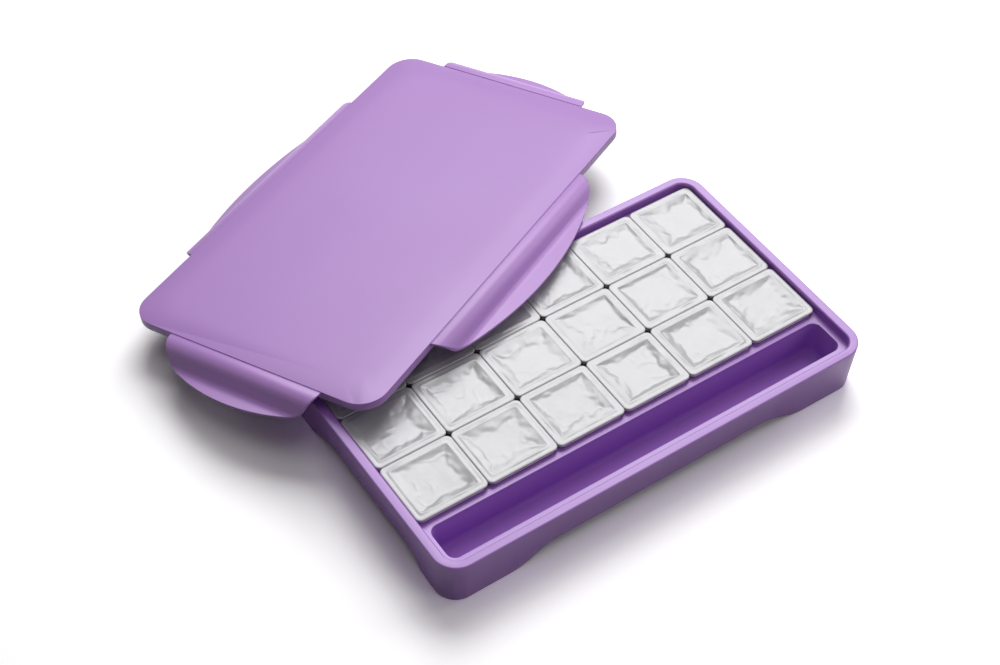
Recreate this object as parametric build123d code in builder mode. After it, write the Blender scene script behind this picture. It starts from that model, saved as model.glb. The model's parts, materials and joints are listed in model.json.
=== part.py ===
from build123d import *
import os
from math import asin, cos, radians, sin, tan

# A gouache paint set: a moulded tray with eighteen film-sealed paint cups and a brush trough, and its lid,
# which lies askew over the tray's back rim with its four latch flaps half open.
# Millimetres. X runs along the tray, Y from the brush trough to the back, Z up from the table.
# The origin is on the tray's underside, in the middle.

# tray
tray_length = 266.0
tray_width = 156.2
tray_height = 30.0
tray_corner = 13.5
wall = 1.6
rim_thickness = 1.8
rim_band = 1.0  # the upright band round the top of the rim
skirt_draft = 1.5  # how far the skirt leans in from rim to table
skirt_bow = 2.2  # extra lean at the table in the middle of each side
arch_height = 6.4  # lift of the skirt's lower edge in the middle of each side
arch_long = (62.0, 98.0)  # flat half width and full half width of the arch on a long side
arch_short = (30.0, 60.0)
rim_round = 0.7  # outer top edge of the rim
rim_bevel = 0.6  # inner top edge
rim_front = 4.7
rim_side = 5.3
rim_back = 4.85
recess_depth = 5.9
recess_corner = 8.0
deck_thickness = 1.6
floor_thickness = 2.0
pocket_draft = 1.5
well_half_length = 125.0
well_front = -40.2
well_back = 68.8
trough_half_length = 124.0
trough_front = -68.1
trough_back = -46.0
trough_floor = 5.0
trough_cove = 2.5  # the soft edge all round the trough's floor
pocket_corner = 5.0

# cups
columns, rows = 6, 3
pitch_x = 42.27
pitch_y = 37.5
first_row_y = -23.2
flange_x = 41.9
flange_y = 37.1
flange_corner = 4.5
flange_thickness = 2.8
film_thickness = 0.3
film_top = 27.5
cup_wall = 0.9
cup_mouth_x = 37.6
cup_mouth_y = 32.8
cup_corner = 4.2
cavity_corner = 2.4
cup_draft = 2.0  # how far each cup wall leans in from mouth to floor
paint_headroom = 1.2
paint_gap = 0.1
film_sink = 0.9  # how far the middle of the film is drawn down into the cup's mouth
film_lean = 1.3  # how far the film's drawn sides lean in
film_border = 4.4  # width of the film's flat border on the flange

# lid
lid_length = 267.2
lid_width = 157.3
lid_corner = 15.0
lid_edge = 4.7
lid_crown = 0.8
crown_slope = 20.0
crown_corner = 9.0
lid_panel = 1.3
lid_wall = 2.0
plug_depth = 2.6
plug_thickness = 1.4
plug_gap = 0.4
lid_middle = (-28.9, 142.9, 29.4)  # middle of the plane of the lid's top edges
lid_pitch, lid_roll, lid_yaw = -7.88, 2.35, 24.6

# latch flaps
hinge_bead = 0.9
hinge_clearance = 0.1
hinge_out = 0.2
hinge_drop = 1.3
hinge_skin = 0.05  # from the hinge axis up to the flap's underside
root_lean = 0.75  # how far the flap's root edge leans away from the lid, so that the flap can be lifted
flap_thickness = 1.1
flap_fall = 60.0
knee_round = 8.5
valley_round = 3.5
short_flap = {"half": 48.3, "knee": 7.85, "drop": 10.0, "reach": 21.8, "joint": 40.5, "shoulder": 13.0}
long_flap = {"half": 78.0, "knee": 7.2, "drop": 8.0, "reach": 23.2, "joint": 70.5, "shoulder": 10.5}
droop = {"front": 0.0, "back": 16.3, "left": 0.0, "right": 0.0}

half_length = tray_length / 2
half_width = tray_width / 2
skirt_top = tray_height - rim_band
recess_half = half_length - rim_side
recess_front = -half_width + rim_front
recess_back = half_width - rim_back
deck_top = tray_height - recess_depth
cup_base = floor_thickness
flange_top = film_top - film_thickness

os.makedirs("parts", exist_ok=True)


def save(piece, name):
    piece.part.label = name
    export_step(piece.part, f"parts/{name}.step")


def skirt_solid(top, bottom, inset):
    """The skirt's outside shape between two heights, inset all round, with the middle of each side bowed in."""
    flat_x, full_x = arch_long
    flat_y, full_y = arch_short
    turn_x, turn_y = (full_x - flat_x) / 2, (full_y - flat_y) / 2
    with BuildPart() as solid:
        for z in (top, bottom):
            fall = 1 - z / skirt_top
            x = half_length - inset - skirt_draft * fall
            y = half_width - inset - skirt_draft * fall
            bow = skirt_bow * fall
            corner = tray_corner - inset - skirt_draft * fall
            with BuildSketch(Plane.XY.offset(z)):
                with BuildLine():
                    Line((0, bow - y), (flat_x, bow - y))
                    Bezier((flat_x, bow - y), (flat_x + turn_x, bow - y), (full_x - turn_x, -y), (full_x, -y))
                    Line((full_x, -y), (x - corner, -y))
                    RadiusArc((x - corner, -y), (x, corner - y), -corner)
                    Line((x, corner - y), (x, -full_y))
                    Bezier((x, -full_y), (x, turn_y - full_y), (x - bow, -flat_y - turn_y), (x - bow, -flat_y))
                    Line((x - bow, -flat_y), (x - bow, 0))
                    mirror(about=Plane.XZ)
                    mirror(about=Plane.YZ)
                make_face()
        loft(ruled=True)
    return solid.part


def drafted_block(x, y, length, width, corner, top, bottom, lean, outline=RectangleRounded):
    """A block whose sides lean in evenly from its top to its foot."""
    with BuildPart() as block:
        for z, inset in ((top, 0), (bottom, lean)):
            with BuildSketch(Plane.XY.offset(z)):
                with Locations((x, y)):
                    outline(length - 2 * inset, width - 2 * inset, corner)
        loft(ruled=True)
    return block.part


def pocket(half_length, front, back, bottom, grow=0):
    """A drafted block for a pocket in the deck; grow makes it larger all round, for the pocket's walls."""
    size = (2 * (half_length + grow), back - front + 2 * grow, pocket_corner + grow)
    return drafted_block(0, (front + back) / 2, *size, deck_top, bottom, pocket_draft)


def coved_pocket():
    """The inside of the brush trough, with its soft floor edge."""
    with BuildPart() as block:
        add(pocket(*trough, trough_floor))
        fillet(block.faces().sort_by(Axis.Z)[0].edges(), trough_cove)
    return block.part


def arch(half_widths, plane):
    """The gap under the skirt on the side that the plane faces."""
    flat, full = half_widths
    turn = (full - flat) / 2
    with BuildPart() as gap:
        with BuildSketch(plane):
            with BuildLine():
                Line((0, arch_height), (flat, arch_height))
                Bezier((flat, arch_height), (flat + turn, arch_height), (full - turn, 0), (full, 0))
                Polyline((full, 0), (full, -1), (0, -1))
                mirror(about=Plane.YZ)
            make_face()
        extrude(amount=2 * (wall + skirt_draft + skirt_bow), both=True)
    return gap.part


well = (well_half_length, well_front, well_back)
trough = (trough_half_length, trough_front, trough_back)

with BuildPart() as tray:
    with BuildSketch(Plane.XY.offset(skirt_top)):
        RectangleRounded(tray_length, tray_width, tray_corner)
    extrude(amount=rim_band)
    fillet(tray.faces().sort_by(Axis.Z)[-1].edges(), rim_round)
    add(skirt_solid(skirt_top, 0, 0))
    add(skirt_solid(tray_height - rim_thickness, 0, wall), mode=Mode.SUBTRACT)
    for side, half_widths, reach in (
        (Plane.XZ, arch_long, half_width),
        (Plane.YZ, arch_short, half_length),
    ):
        add(arch(half_widths, side.offset(reach)), mode=Mode.SUBTRACT)
        add(arch(half_widths, side.offset(-reach)), mode=Mode.SUBTRACT)
    with BuildSketch(Plane.XY.offset(deck_top - deck_thickness)):
        with Locations((0, (recess_front + recess_back) / 2)):
            RectangleRounded(2 * (recess_half + wall), recess_back - recess_front + 2 * wall, recess_corner + wall)
    extrude(amount=recess_depth)
    add(pocket(*well, 0, wall))
    add(pocket(*trough, trough_floor - floor_thickness, wall))
    with BuildSketch(Plane.XY.offset(deck_top)):
        with Locations((0, (recess_front + recess_back) / 2)):
            RectangleRounded(2 * recess_half, recess_back - recess_front, recess_corner)
    extrude(amount=recess_depth, mode=Mode.SUBTRACT)
    chamfer(tray.faces().sort_by(Axis.Z)[-1].inner_wires()[0].edges(), rim_bevel)
    add(pocket(*well, floor_thickness), mode=Mode.SUBTRACT)
    add(coved_pocket(), mode=Mode.SUBTRACT)
save(tray, "base_tray")


def chamfered_rectangle(length, width, corner):
    with BuildSketch() as outline:
        Rectangle(length, width)
        chamfer(outline.vertices(), corner)
    return add(outline.sketch)


def flange_plate(x, y, top, thickness):
    with BuildPart() as plate:
        with BuildSketch(Plane.XY.offset(top)):
            with Locations((x, y)):
                RectangleRounded(flange_x, flange_y, flange_corner)
        extrude(amount=-thickness)
    return plate.part


def cavity(x, y, grow, top, bottom):
    """The inside of a cup, or with a negative grow the block of paint that fills it."""
    size = (cup_mouth_x - 2 * cup_wall + 2 * grow, cup_mouth_y - 2 * cup_wall + 2 * grow, cavity_corner)
    return drafted_block(x, y, *size, top, bottom, cup_draft, chamfered_rectangle)


def paint_cup(x, y):
    with BuildPart() as cup:
        add(drafted_block(x, y, cup_mouth_x, cup_mouth_y, cup_corner, flange_top, cup_base, cup_draft))
        add(flange_plate(x, y, flange_top, flange_thickness))
        add(cavity(x, y, 0, flange_top, cup_base + cup_wall), mode=Mode.SUBTRACT)
    return cup


def gouache(x, y):
    with BuildPart() as paint:
        add(cavity(x, y, -paint_gap, flange_top, cup_base + cup_wall + paint_gap))
        split(bisect_by=Plane.XY.offset(flange_top - paint_headroom), keep=Keep.BOTTOM)
    return paint


def film_lid(x, y):
    """The sealing film: flat on the flange, and drawn down in the middle."""
    length, width = flange_x - 2 * film_border, flange_y - 2 * film_border
    inner = (length - 2 * film_thickness, width - 2 * film_thickness, cavity_corner)
    with BuildPart() as film:
        add(flange_plate(x, y, film_top, film_thickness))
        for mode, size, bottom in (
            (Mode.ADD, (length, width, cavity_corner), film_top - film_sink - film_thickness),
            (Mode.SUBTRACT, inner, film_top - film_sink),
        ):
            add(drafted_block(x, y, *size, film_top, bottom, film_lean, chamfered_rectangle), mode=mode)
    return film


for row in range(rows):
    for column in range(columns):
        number = row * columns + column + 1
        x = (column - (columns - 1) / 2) * pitch_x
        y = first_row_y + row * pitch_y
        save(paint_cup(x, y), f"paint_cup_{number:02d}")
        save(gouache(x, y), f"gouache_{number:02d}")
        save(film_lid(x, y), f"film_lid_{number:02d}")


def turned(vector):
    """A direction of the closed lid, turned to where the lid lies."""
    return vector.rotate(Axis.X, lid_pitch).rotate(Axis.Y, lid_roll).rotate(Axis.Z, lid_yaw)


lid_plane = Plane(origin=lid_middle, x_dir=turned(Vector(1, 0, 0)), z_dir=turned(Vector(0, 0, 1)))
sides = {
    "front": (0, -1, lid_width / 2, long_flap),
    "back": (0, 1, lid_width / 2, long_flap),
    "left": (-1, 0, lid_length / 2, short_flap),
    "right": (1, 0, lid_length / 2, short_flap),
}


def hinge_plane(side, angle=0):
    """A plane across one side's hinge: origin on the axis, X outwards and drooping by the angle, Y up."""
    out_x, out_y, reach, _ = sides[side]
    reach += hinge_out
    origin = lid_plane.from_local_coords(Vector(out_x * reach, out_y * reach, -hinge_drop))
    outwards = lid_plane.x_dir * out_x + lid_plane.y_dir * out_y
    along = outwards.cross(lid_plane.z_dir)
    drooping = outwards * cos(radians(angle)) - lid_plane.z_dir * sin(radians(angle))
    return Plane(origin=origin, x_dir=drooping, z_dir=along)


with BuildPart() as lid:
    with BuildSketch(lid_plane):
        RectangleRounded(lid_length, lid_width, lid_corner)
    extrude(amount=-lid_edge)
    with BuildSketch(lid_plane):
        RectangleRounded(lid_length, lid_width, lid_corner)
    with BuildSketch(lid_plane.offset(lid_crown)):
        RectangleRounded(lid_length - 2 * crown_slope, lid_width - 2 * crown_slope, crown_corner)
    loft()
    with BuildSketch(lid_plane.offset(-lid_edge)):
        RectangleRounded(lid_length - 2 * lid_wall, lid_width - 2 * lid_wall, lid_corner - lid_wall)
    extrude(amount=lid_edge - lid_panel, mode=Mode.SUBTRACT)
    with BuildSketch(lid_plane.offset(-lid_edge - plug_depth)):
        with Locations((0, (recess_front + recess_back) / 2)):
            plug = (2 * (recess_half - plug_gap), recess_back - recess_front - 2 * plug_gap, recess_corner - plug_gap)
            RectangleRounded(*plug)
            RectangleRounded(*[size - 2 * plug_thickness for size in plug[:2]], plug[2] - plug_thickness,
                             mode=Mode.SUBTRACT)
    extrude(amount=lid_edge + plug_depth - lid_panel)
    for side in sides:
        with BuildSketch(hinge_plane(side)):
            Circle(hinge_bead + hinge_clearance)
        extrude(amount=sides[side][3]["half"] + 3 * hinge_clearance, both=True, mode=Mode.SUBTRACT)
save(lid, "lid")


def latch_flap(side):
    form = sides[side][3]
    across = hinge_plane(side, droop[side])
    plan = Plane(origin=across.origin, x_dir=across.z_dir, z_dir=across.y_dir)
    reach, joint, shoulder, half = form["reach"], form["joint"], form["shoulder"], form["half"]
    top = hinge_skin + flap_thickness
    knee = Vector(form["knee"], top)
    valley = knee + Vector(form["drop"] / tan(radians(flap_fall)), -form["drop"])
    below = Vector(-flap_thickness * tan(radians(flap_fall / 2)), -flap_thickness)
    rise = reach - shoulder
    slope = asin(2 * rise * joint / (joint ** 2 + rise ** 2))
    corner = (half - joint) / (1 - sin(slope))
    with BuildPart() as flap:
        with BuildSketch(across) as section:
            with BuildLine():
                Polyline((root_lean, top), knee, valley, (reach, valley.Y), (reach, valley.Y - flap_thickness),
                         valley + below, knee + below, (0, hinge_skin), close=True)
            make_face()
            for bend, radius in ((knee, knee_round), (knee + below, knee_round - flap_thickness),
                                 (valley, valley_round), (valley + below, valley_round + flap_thickness)):
                fillet(section.vertices().sort_by_distance(bend)[0], radius)
        extrude(amount=half, both=True)
        with BuildSketch(plan):
            with BuildLine():
                crescent = ThreePointArc((-joint, shoulder), (0, reach), (joint, shoulder))
                TangentArc((joint, shoulder), (half, shoulder - corner * cos(slope)), tangent=crescent % 1)
                Polyline((half, shoulder - corner * cos(slope)), (half, -1), (0, -1))
                TangentArc((-joint, shoulder), (-half, shoulder - corner * cos(slope)), tangent=-(crescent % 0))
                Polyline((-half, shoulder - corner * cos(slope)), (-half, -1), (0, -1))
            make_face()
        extrude(amount=reach, both=True, mode=Mode.INTERSECT)
        with BuildSketch(across):
            Circle(hinge_bead)
        extrude(amount=half, both=True)
    return flap


for side in sides:
    save(latch_flap(side), f"latch_flap_{side}")
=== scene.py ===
import bpy
import bmesh
import json
from math import cos, exp, log, pi, radians, sin
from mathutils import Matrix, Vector, noise


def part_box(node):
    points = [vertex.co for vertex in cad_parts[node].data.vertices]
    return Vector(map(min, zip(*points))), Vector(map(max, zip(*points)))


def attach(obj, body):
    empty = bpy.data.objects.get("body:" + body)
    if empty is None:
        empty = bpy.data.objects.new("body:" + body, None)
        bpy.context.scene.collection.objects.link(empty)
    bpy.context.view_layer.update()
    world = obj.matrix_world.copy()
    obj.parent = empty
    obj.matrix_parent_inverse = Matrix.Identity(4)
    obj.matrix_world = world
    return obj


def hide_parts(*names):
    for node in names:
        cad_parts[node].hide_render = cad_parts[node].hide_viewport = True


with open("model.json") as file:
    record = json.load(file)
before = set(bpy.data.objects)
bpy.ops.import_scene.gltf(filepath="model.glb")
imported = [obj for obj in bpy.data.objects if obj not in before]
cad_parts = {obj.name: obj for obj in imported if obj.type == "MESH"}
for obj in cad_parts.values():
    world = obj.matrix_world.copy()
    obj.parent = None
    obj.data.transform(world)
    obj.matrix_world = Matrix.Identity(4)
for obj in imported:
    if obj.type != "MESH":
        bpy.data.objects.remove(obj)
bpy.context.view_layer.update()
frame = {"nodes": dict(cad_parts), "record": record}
nodes = frame["nodes"]
mm = 0.001

# camera and light, in metres and degrees

view = {
    "place": (-0.39615, -0.47925, 0.76526),
    "turn": (40.7476, -1.3576, -34.1451),
    "lens": 66.09,
    "farthest": 20.0,
}

lamps = {
    # name: place, aim, size across and down, watts, colour
    "backSoftbox": ((0.62, 0.82, 1.22), (0.0, 0.05, 0.0), (1.1, 1.0), 21.0, "#ffffff"),
    "rightSoftbox": ((1.5, -0.1, 1.0), (0.0, 0.05, 0.0), (0.7, 0.7), 4.5, "#ffffff"),
    "frontFill": ((0.7, -1.3, 0.7), (0.0, 0.05, 0.0), (0.8, 0.5), 3.2, "#ffffff"),
    "topSoftbox": ((0.0, 0.0, 1.5), (0.0, 0.05, 0.0), (0.9, 0.9), 2.5, "#ffffff"),
}

studio = {
    "ambient": 0.09,
    "ambientColour": "#fff2ff",
    "floorSize": 0.85,  # half of its side: beyond it the backdrop is as white
    "floorSeen": 1.42,  # how bright the floor looks to the camera
    "floorBounce": 0.12,  # how much light the floor gives back to the box
}


def linear(hexColour):
    channels = [int(hexColour[i:i + 2], 16) / 255 for i in (1, 3, 5)]
    return [c / 12.92 if c <= 0.04045 else ((c + 0.055) / 1.055) ** 2.4 for c in channels] + [1.0]


def addNode(tree, kind, settings=None, links=None, **sockets):
    node = tree.nodes.new(kind)
    for name, value in (settings or {}).items():
        setattr(node, name, value)
    for name, value in sockets.items():
        node.inputs[name.replace("_", " ")].default_value = value
    for name, source in (links or {}).items():
        tree.links.new(source, node.inputs[name])
    return node


def newMaterial(name):
    material = bpy.data.materials.new(name)
    material.use_nodes = True
    material.node_tree.nodes.clear()
    return material, material.node_tree


def finishMaterial(tree, shader):
    addNode(tree, "ShaderNodeOutputMaterial", links={"Surface": shader.outputs[0]})


# moulded polypropylene: a soft satin gloss, faintly cloudy, with the fine grain of a spark-eroded mould
lilac = {
    # the tray's purple is deeper and more saturated than the lid's, partly as painted shade that keeps its trough
    # and walls dark
    "tray": {"colour": "#9d67c0", "cloud": "#9962bc", "rough": 0.4, "gloss": 0.9},
    "lid": {"colour": "#ab80c5", "cloud": "#a77bc1", "rough": 0.38, "gloss": 0.5},
    # the latch is a lighter copy of the lid's purple: painted light that brightens the flaps' lips where the lid
    # shades them
    "latch": {"colour": "#b287cb", "cloud": "#ae82c7", "rough": 0.38, "gloss": 0.5},
    "pocket": (127.0, 70.0, 23.2),  # how far the tray's matt pockets reach along each axis, in mm
    "pocketEdge": 0.6,  # over how many mm the matt finish starts
    "pocketRough": 0.85,
    "roughSpread": 0.03,
    "cloudSize": 60.0,  # mm
    "grain": 0.5,  # mm between the mould's spark marks
    "grainHeight": 0.004,  # mm
    "grainStrength": 0.25,
    "ior": 1.5,
}


# 1 inside the tray's pockets and 0 outside them
def insidePocket(tree, place):
    axes = addNode(tree, "ShaderNodeSeparateXYZ", links={"Vector": place})
    inside = None
    for axis, limit in zip("XYZ", lilac["pocket"]):
        reach = addNode(tree, "ShaderNodeMath", {"operation": "ABSOLUTE"}, {"Value": axes.outputs[axis]})
        near = addNode(tree, "ShaderNodeMapRange", links={"Value": reach.outputs["Value"]},
                       From_Min=limit * mm, From_Max=(limit + lilac["pocketEdge"]) * mm, To_Min=1.0, To_Max=0.0)
        if inside:
            both = addNode(tree, "ShaderNodeMath", {"operation": "MINIMUM"}, {"Value": inside})
            tree.links.new(near.outputs["Result"], both.inputs[1])
            inside = both.outputs["Value"]
        else:
            inside = near.outputs["Result"]
    return inside


def mouldedPolypropylene(name, colour, cloud, rough, gloss, pocketed=False):
    material, tree = newMaterial(name)
    place = addNode(tree, "ShaderNodeTexCoord").outputs["Object"]
    clouds = addNode(tree, "ShaderNodeTexNoise", links={"Vector": place}, Detail=2.0,
                     Scale=1 / (lilac["cloudSize"] * mm))
    tint = addNode(tree, "ShaderNodeMix", {"data_type": "RGBA"}, {"Factor": clouds.outputs["Fac"]})
    tint.inputs["A"].default_value = linear(colour)
    tint.inputs["B"].default_value = linear(cloud)
    grain = addNode(tree, "ShaderNodeTexNoise", links={"Vector": place}, Detail=3.0,
                    Scale=1 / (lilac["grain"] * mm))
    relief = addNode(tree, "ShaderNodeBump", links={"Height": grain.outputs["Fac"]},
                     Strength=lilac["grainStrength"], Distance=lilac["grainHeight"] * mm)
    polish = addNode(tree, "ShaderNodeMapRange", links={"Value": clouds.outputs["Fac"]},
                     To_Min=rough - lilac["roughSpread"], To_Max=rough + lilac["roughSpread"])
    finish = polish.outputs["Result"]
    if pocketed:
        matted = addNode(tree, "ShaderNodeMix", {"data_type": "FLOAT"},
                         {"Factor": insidePocket(tree, place), "A": finish}, B=lilac["pocketRough"])
        finish = matted.outputs["Result"]
    shader = addNode(tree, "ShaderNodeBsdfPrincipled",
                     links={"Base Color": tint.outputs["Result"], "Roughness": finish,
                            "Normal": relief.outputs["Normal"]},
                     IOR=lilac["ior"], Specular_IOR_Level=gloss)
    finishMaterial(tree, shader)
    return material


# polyester film with a thin aluminium coat: silvery white with a soft sheen, finely creased where heat drew it
filmLook = {
    "colour": "#b2b2b4",
    "metallic": 0.08,
    "rough": 0.32,
    "roughSpread": 0.08,
    "crease": 4.0,  # mm
    "creaseTwist": 1.2,
    "creaseHeight": 0.02,  # mm
    "creaseStrength": 0.6,
}


def coatedFilm():
    material, tree = newMaterial("coatedSealingFilm")
    place = addNode(tree, "ShaderNodeTexCoord").outputs["Object"]
    creases = addNode(tree, "ShaderNodeTexNoise", links={"Vector": place}, Detail=4.0,
                      Distortion=filmLook["creaseTwist"], Scale=1 / (filmLook["crease"] * mm))
    relief = addNode(tree, "ShaderNodeBump", links={"Height": creases.outputs["Fac"]},
                     Strength=filmLook["creaseStrength"], Distance=filmLook["creaseHeight"] * mm)
    polish = addNode(tree, "ShaderNodeMapRange", links={"Value": creases.outputs["Fac"]},
                     To_Min=filmLook["rough"] - filmLook["roughSpread"],
                     To_Max=filmLook["rough"] + filmLook["roughSpread"])
    shader = addNode(tree, "ShaderNodeBsdfPrincipled",
                     links={"Roughness": polish.outputs["Result"], "Normal": relief.outputs["Normal"]},
                     Metallic=filmLook["metallic"], Base_Color=linear(filmLook["colour"]))
    finishMaterial(tree, shader)
    return material


# white polypropylene: plain, smooth from a polished mould
cupLook = {"colour": "#e6e5e6", "rough": (0.3, 0.4), "flow": 12.0, "ior": 1.49}


def cupPolypropylene():
    material, tree = newMaterial("whiteCupPolypropylene")
    place = addNode(tree, "ShaderNodeTexCoord").outputs["Object"]
    flow = addNode(tree, "ShaderNodeTexNoise", links={"Vector": place}, Detail=2.0,
                   Scale=1 / (cupLook["flow"] * mm))
    least, most = cupLook["rough"]
    polish = addNode(tree, "ShaderNodeMapRange", links={"Value": flow.outputs["Fac"]}, To_Min=least, To_Max=most)
    shader = addNode(tree, "ShaderNodeBsdfPrincipled", links={"Roughness": polish.outputs["Result"]},
                     Base_Color=linear(cupLook["colour"]), IOR=cupLook["ior"])
    finishMaterial(tree, shader)
    return material


# gouache: a matt paste with a fine uneven skin
pasteLook = {"rough": 0.75, "lump": 2.0, "lumpHeight": 0.1, "lumpStrength": 0.4}


def gouachePaste(slot, colour):
    material, tree = newMaterial("gouache_" + slot)
    place = addNode(tree, "ShaderNodeTexCoord").outputs["Object"]
    lumps = addNode(tree, "ShaderNodeTexNoise", links={"Vector": place}, Detail=3.0,
                    Scale=1 / (pasteLook["lump"] * mm))
    relief = addNode(tree, "ShaderNodeBump", links={"Height": lumps.outputs["Fac"]},
                     Strength=pasteLook["lumpStrength"], Distance=pasteLook["lumpHeight"] * mm)
    shader = addNode(tree, "ShaderNodeBsdfPrincipled", links={"Normal": relief.outputs["Normal"]},
                     Base_Color=colour, Roughness=pasteLook["rough"])
    finishMaterial(tree, shader)
    return material


trayPlastic = mouldedPolypropylene("trayPolypropylene", pocketed=True, **lilac["tray"])
lidPlastic = mouldedPolypropylene("lidPolypropylene", **lilac["lid"])
latchPlastic = mouldedPolypropylene("latchPolypropylene", **lilac["latch"])
film = coatedFilm()
cupWhite = cupPolypropylene()
print("materials made")


def setMaterial(obj, material):
    obj.data.materials.clear()
    obj.data.materials.append(material)


def newPiece(name, mesh, body, slotName, material, *replaced):
    piece = bpy.data.objects.new(name, mesh)
    bpy.context.scene.collection.objects.link(piece)
    setMaterial(piece, material)
    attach(piece, body)
    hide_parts(*replaced)
    return piece


# moulded shells: the same solids with their sharp edges rounded

softEdge = {
    "tray": 0.4,  # mm
    "lid": 0.6,
    "latch": 0.3,
    "steps": 3,
    "leastBend": 35.0,  # degrees
    "weld": 0.002,  # mm
    "flat": 0.5,  # degrees between faces that are joined into one
}
crownBlend = {"width": 7.0, "steps": 4, "faintest": 1.2, "strongest": 6.0, "upright": 0.9}


# the faint bend where the lid's crown meets its flat middle, rounded
def blendCrown(work):
    bends = [edge for edge in work.edges if len(edge.link_faces) == 2
             and min(face.normal.z for face in edge.link_faces) > crownBlend["upright"]
             and radians(crownBlend["faintest"]) < edge.calc_face_angle() < radians(crownBlend["strongest"])]
    bmesh.ops.bevel(work, geom=bends, offset=crownBlend["width"] * mm, offset_type="OFFSET", affect="EDGES",
                    segments=crownBlend["steps"], profile=0.5, material=-1, clamp_overlap=True)
    print("crown edges blended:", len(bends))


def roundedShell(name, node, body, slotName, material, width):
    mesh = nodes[node].data.copy()
    work = bmesh.new()
    work.from_mesh(mesh)
    bmesh.ops.remove_doubles(work, verts=work.verts, dist=softEdge["weld"] * mm)
    bmesh.ops.dissolve_limit(work, angle_limit=radians(softEdge["flat"]), verts=work.verts, edges=work.edges)
    if node == "lid":
        blendCrown(work)
    for face in work.faces:
        face.smooth = True
    work.to_mesh(mesh)
    work.free()
    piece = newPiece(name, mesh, body, slotName, material, node)
    bevel = piece.modifiers.new("soft edges", "BEVEL")
    bevel.width = width * mm
    bevel.segments = softEdge["steps"]
    bevel.limit_method = "ANGLE"
    bevel.angle_limit = radians(softEdge["leastBend"])
    bevel.harden_normals = True


roundedShell("trayShell", "base_tray", "tray", "lilac_tray", trayPlastic, softEdge["tray"])
roundedShell("lidShell", "lid", "lid", "lilac_lid", lidPlastic, softEdge["lid"])
for side in ("front", "back", "left", "right"):
    roundedShell(side + "LatchShell", "latch_flap_" + side, "latch_" + side, "lilac_latch", latchPlastic,
                 softEdge["latch"])
print("shells rounded")


# sealing films: drawn down over each cup's mouth and wrinkled, every one differently

# lengths in mm
drawnFilm = {
    "thickness": 0.12,
    "overhang": 0.12,  # past the flange's side
    "freeOverhang": 0.7,  # at the front of the first row, where no other cup stands
    "cell": 0.5,  # mesh size
    "bordered": (5.2, 0.42),  # width with a finer mesh, and the share of the mesh lines that it gets
    "corner": 3.2,
    "edgeRound": 0.7,
    "edgeDrop": 0.25,
    "hem": (0.7, 0.7, 4.0),  # drop of the hem, how much it wanders and over what length
    "border": 4.3,
    "bendWander": (0.3, 0.25),  # of the border's bend, from side to side and along a side
    "bendSharpness": 1.2,
    "groove": (2.2, 0.4, 0.12),  # place, width and depth of the sealing tool's line
    "ridge": (3.7, 0.45, 0.14),
    "depth": (1.1, 0.25),  # and how much it differs from cup to cup
    "slopes": {"left": 0.2, "right": 0.22, "front": 0.2, "back": 0.17},
    "slopeSpread": 0.85,
    "slopeEnds": 1.3,  # how much steeper a slope gets from its middle to its ends
    "ragged": (0.6, 4.5),  # unevenness of the slopes and its spacing
    "facet": 0.03,  # tilt of the taut facets in the middle
    "blend": 14.0,  # sharpness of the creases between slopes and facets
    "insideDepth": 0.5,  # how far down the film counts as wholly inside the border
    "wave": (0.12, 9.0),  # height and spacing of the slack
    "crinkle": (0.02, 2.6),
    "fold": (0.16, 0.1, 10.0, 15.0),  # height and sharpness of the folds, their spacing and that of their patches
    "pleat": (0.11, 0.9, 1.5),  # height, half width and place of the fold inside the front and left bends
    "steady": {"groove": 0.6, "ridge": 0.7, "pleat": 0.5, "facet": 0.6, "wave": 0.35},  # the share that doesn't vary
    "grooveWander": 0.25,
    "ridgeWander": 0.8,
    "pleatWander": 1.2,
    "patchEdge": 0.25,  # how softly the patches of folds start
    "seedStep": 7.3,  # between one cup and the next
}


def smoothStep(low, high, value):
    t = min(max((value - low) / (high - low), 0), 1)
    return t * t * (3 - 2 * t)


# steps through a fixed field of smooth noise, wide enough apart that two draws have little to do with each other
draw = {"gain": 1.6, "seedStep": 1.37, "indexStep": 5.19, "layer": 3.3}


# a number from -1 to 1 that is the same each run
def chance(seed, index):
    place = Vector((seed * draw["seedStep"], index * draw["indexStep"], draw["layer"]))
    return min(max(draw["gain"] * noise.noise(place), -1), 1)


def slack(x, y, spacing, seed):
    return noise.noise(Vector((x / spacing, y / spacing, seed)))


def lowest(values, sharpness):
    return -log(sum(exp(-sharpness * value) for value in values)) / sharpness


def hump(value, middle, width):
    return exp(-((value - middle) / width) ** 2)


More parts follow.
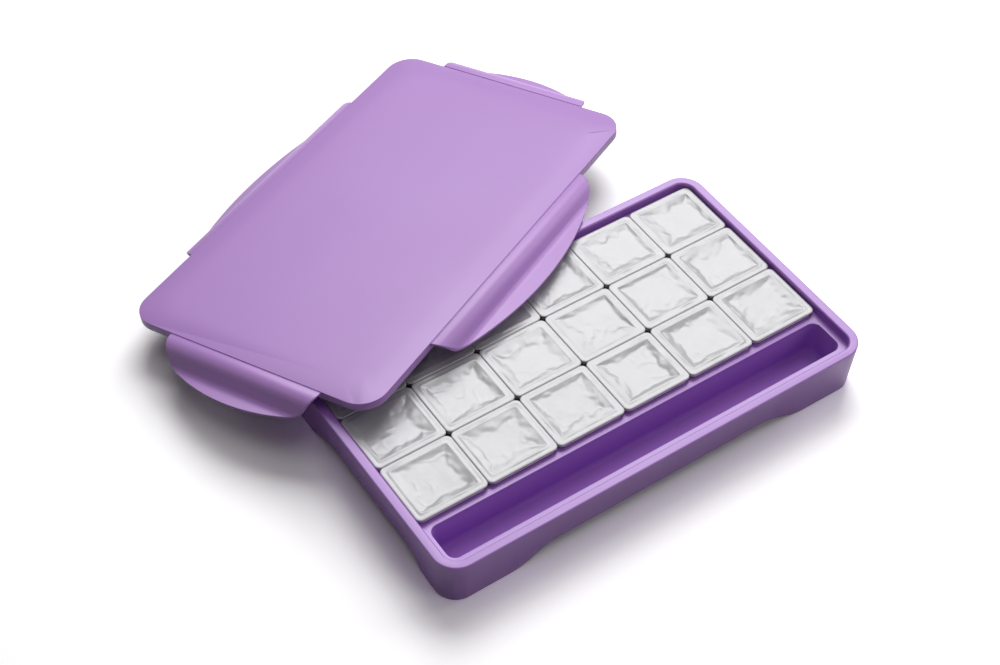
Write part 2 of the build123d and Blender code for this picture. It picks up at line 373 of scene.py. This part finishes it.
# height of the film above its flat top; seed makes each cup's film its own, and what is added to it or to
# an index keeps the draws apart
def filmHeight(x, y, halfX, halfY, seed):
    sheet = drawnFilm
    steady = sheet["steady"]
    sides = {"left": x + halfX, "right": halfX - x, "front": y + halfY, "back": halfY - y}
    inward = min(sides.values())
    inner = lowest(sides.values(), sheet["bendSharpness"])
    wander = slack(x, y, sheet["wave"][1], seed)
    height = -sheet["edgeDrop"] * (1 - smoothStep(0, sheet["edgeRound"], inward)) ** 2
    place, width, depth = sheet["groove"]
    height -= depth * hump(inner, place + sheet["grooveWander"] * wander, width) * (steady["groove"] + wander)
    place, width, rise = sheet["ridge"]
    height += rise * hump(inner, place, width) * (steady["ridge"] + sheet["ridgeWander"] * wander)
    falls = []
    rough, spacing = sheet["ragged"]
    sideWander, alongWander = sheet["bendWander"]
    for index, (side, slope) in enumerate(sheet["slopes"].items()):
        bend = sheet["border"] + sideWander * chance(seed, index) + alongWander * wander
        along = y / halfY if side in ("left", "right") else x / halfX
        slope *= exp(sheet["slopeSpread"] * chance(seed, index + 4)) * (1 + sheet["slopeEnds"] * along ** 2)
        slope *= exp(rough * slack(x, y, spacing, seed + 7 * index))
        falls.append(slope * (sides[side] - bend))
    middle, spread = sheet["depth"]
    for index in (8, 9, 10):
        turn = pi * chance(seed, index + 3)
        tilt = sheet["facet"] * (steady["facet"] + (1 - steady["facet"]) * chance(seed, index + 6))
        falls.append(middle + spread * chance(seed, index) + tilt * (x * cos(turn) + y * sin(turn)))
    sunk = max(lowest(falls, sheet["blend"]), 0)
    height -= sunk
    inside = smoothStep(0, sheet["insideDepth"], sunk)
    rise, width, place = sheet["pleat"]
    for side in ("front", "left"):
        reach = sides[side] - sheet["border"] - place - sheet["pleatWander"] * wander
        height += rise * inside * hump(reach, 0, width) * (steady["pleat"] + wander)
    height += sheet["wave"][0] * (steady["wave"] + (1 - steady["wave"]) * inside) * wander
    rise, sharpness, spacing, patch = sheet["fold"]
    crease = max(1 - abs(slack(x, y, spacing, seed + 40)) / sharpness, 0)
    height += rise * inside * crease * smoothStep(0, sheet["patchEdge"], slack(x, y, patch, seed + 60))
    rise, spacing = sheet["crinkle"]
    height += rise * slack(x, y, spacing, seed + 20) * (1 + inside)
    return height * mm


# mesh lines stand closer in the border
def crowded(value, half):
    border, share = drawnFilm["bordered"]
    inward, lines = half - abs(value), share * half
    if inward < lines:
        inward *= border / lines
    else:
        inward = border + (inward - lines) * (half - border) / (half - lines)
    return (half - inward) * (1 if value > 0 else -1)


def drawnFilmMesh(name, low, high, seed):
    sheet = drawnFilm
    low, high = Vector(low), Vector(high)
    if low.y < firstRow:
        low.y -= (sheet["freeOverhang"] - sheet["overhang"]) * mm
    middle = (low + high) / 2
    halfX, halfY = ((high[i] - low[i]) / 2 / mm + sheet["overhang"] for i in (0, 1))
    work = bmesh.new()
    bmesh.ops.create_grid(work, x_segments=round(2 * halfX / sheet["cell"]),
                          y_segments=round(2 * halfY / sheet["cell"]), size=1)
    cornerX, cornerY = halfX - sheet["corner"], halfY - sheet["corner"]
    for vertex in work.verts:
        x, y = crowded(vertex.co.x * halfX, halfX), crowded(vertex.co.y * halfY, halfY)
        height = filmHeight(x, y, halfX, halfY, seed)
        outX, outY = abs(x) - cornerX, abs(y) - cornerY
        if outX > 0 and outY > 0:
            shrink = max(outX, outY) / (outX ** 2 + outY ** 2) ** 0.5
            x = (cornerX + outX * shrink) * (1 if x > 0 else -1)
            y = (cornerY + outY * shrink) * (1 if y > 0 else -1)
        vertex.co = (middle.x + x * mm, middle.y + y * mm, high.z + height)
    # the hem is built face by face, so that its faces are in the same order each run
    drop, wander, spacing = sheet["hem"]
    hem = {}
    for edge in [edge for edge in work.edges if edge.is_boundary]:
        for vertex in edge.verts:
            if vertex not in hem:
                place = (vertex.co - middle) / mm
                hem[vertex] = work.verts.new(vertex.co)
                hem[vertex].co.z -= (drop + wander * slack(place.x, place.y, spacing, seed)) * mm
        start, end = edge.verts
        work.faces.new((end, hem[end], hem[start], start))
    bmesh.ops.recalc_face_normals(work, faces=work.faces)
    for face in work.faces:
        face.smooth = True
    mesh = bpy.data.meshes.new(name)
    work.to_mesh(mesh)
    work.free()
    return mesh


bodyOf = {node: body for body, members in frame["record"]["behaviour"]["bodies"].items() for node in members}
cupNumbers = sorted(name[-2:] for name in nodes if name.startswith("film_lid_"))
firstRow = min(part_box("film_lid_" + number)[0].y for number in cupNumbers) + mm
for number in cupNumbers:
    node = "film_lid_" + number
    low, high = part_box(node)
    name = "drawnFilm" + number
    piece = newPiece(name, drawnFilmMesh(name, low, high, int(number) * drawnFilm["seedStep"]),
                     bodyOf[node], "sealing_film", film, node)
    skin = piece.modifiers.new("film thickness", "SOLIDIFY")
    skin.thickness = drawnFilm["thickness"] * mm
    skin.offset = -1
    setMaterial(nodes["paint_cup_" + number], cupWhite)
print("films drawn:", len(cupNumbers))

slotColours = {m["slot"]: m["base_color"] for m in frame["record"]["materials"]}
for number in cupNumbers:
    colour = "#" + "".join(f"{round(c * 255):02x}" for c in slotColours["paint_" + number][:3])
    setMaterial(nodes["gouache_" + number], gouachePaste(number, linear(colour)))
print("paints coloured")


# floor, lamps and camera

# one shader for the light that falls on the box and another for what the camera and reflections see
def mixSeen(tree, light, look):
    path = addNode(tree, "ShaderNodeLightPath")
    glossy = addNode(tree, "ShaderNodeMath", {"operation": "MAXIMUM"})
    clear = addNode(tree, "ShaderNodeMath", {"operation": "MAXIMUM"})
    mix = addNode(tree, "ShaderNodeMixShader")
    for source, socket in (
        (path.outputs["Is Camera Ray"], glossy.inputs[0]), (path.outputs["Is Glossy Ray"], glossy.inputs[1]),
        (glossy.outputs[0], clear.inputs[0]), (path.outputs["Is Transmission Ray"], clear.inputs[1]),
        (clear.outputs[0], mix.inputs[0]), (light.outputs[0], mix.inputs[1]), (look.outputs[0], mix.inputs[2]),
    ):
        tree.links.new(source, socket)
    return mix


floorMesh = bpy.data.meshes.new("studioFloor")
floorWork = bmesh.new()
bmesh.ops.create_grid(floorWork, x_segments=1, y_segments=1, size=studio["floorSize"])
floorWork.to_mesh(floorMesh)
floorWork.free()
floor = bpy.data.objects.new("studioFloor", floorMesh)
bpy.context.scene.collection.objects.link(floor)
# matt white paper: bright to the camera, but it gives the box less light back
floorMaterial, floorTree = newMaterial("mattPaperFloor")
seen = addNode(floorTree, "ShaderNodeBsdfDiffuse", Color=[studio["floorSeen"]] * 3 + [1])
bounce = addNode(floorTree, "ShaderNodeBsdfDiffuse", Color=[studio["floorBounce"]] * 3 + [1])
finishMaterial(floorTree, mixSeen(floorTree, bounce, seen))
setMaterial(floor, floorMaterial)

for name, (place, aim, size, watts, colour) in lamps.items():
    lamp = bpy.data.lights.new(name, "AREA")
    lamp.shape = "RECTANGLE"
    lamp.size, lamp.size_y = size
    lamp.energy = watts
    lamp.color = linear(colour)[:3]
    lampObject = bpy.data.objects.new(name, lamp)
    lampObject.location = place
    lampObject.rotation_euler = (Vector(aim) - Vector(place)).to_track_quat("-Z", "Y").to_euler()
    bpy.context.scene.collection.objects.link(lampObject)

world = bpy.data.worlds.new("studio")
world.use_nodes = True
world.node_tree.nodes.clear()
ambient = addNode(world.node_tree, "ShaderNodeBackground", Color=linear(studio["ambientColour"]),
                  Strength=studio["ambient"])
backdrop = addNode(world.node_tree, "ShaderNodeBackground", Color=(1, 1, 1, 1), Strength=1.0)
seenRay = mixSeen(world.node_tree, ambient, backdrop)
addNode(world.node_tree, "ShaderNodeOutputWorld", links={"Surface": seenRay.outputs[0]})
bpy.context.scene.world = world

camera = bpy.data.cameras.new("camera")
camera.lens = view["lens"]
camera.clip_end = view["farthest"]
cameraObject = bpy.data.objects.new("camera", camera)
cameraObject.location = view["place"]
cameraObject.rotation_euler = [radians(a) for a in view["turn"]]
bpy.context.scene.collection.objects.link(cameraObject)
bpy.context.scene.camera = cameraObject
bpy.context.scene.view_settings.view_transform = "Standard"
print("stage set")
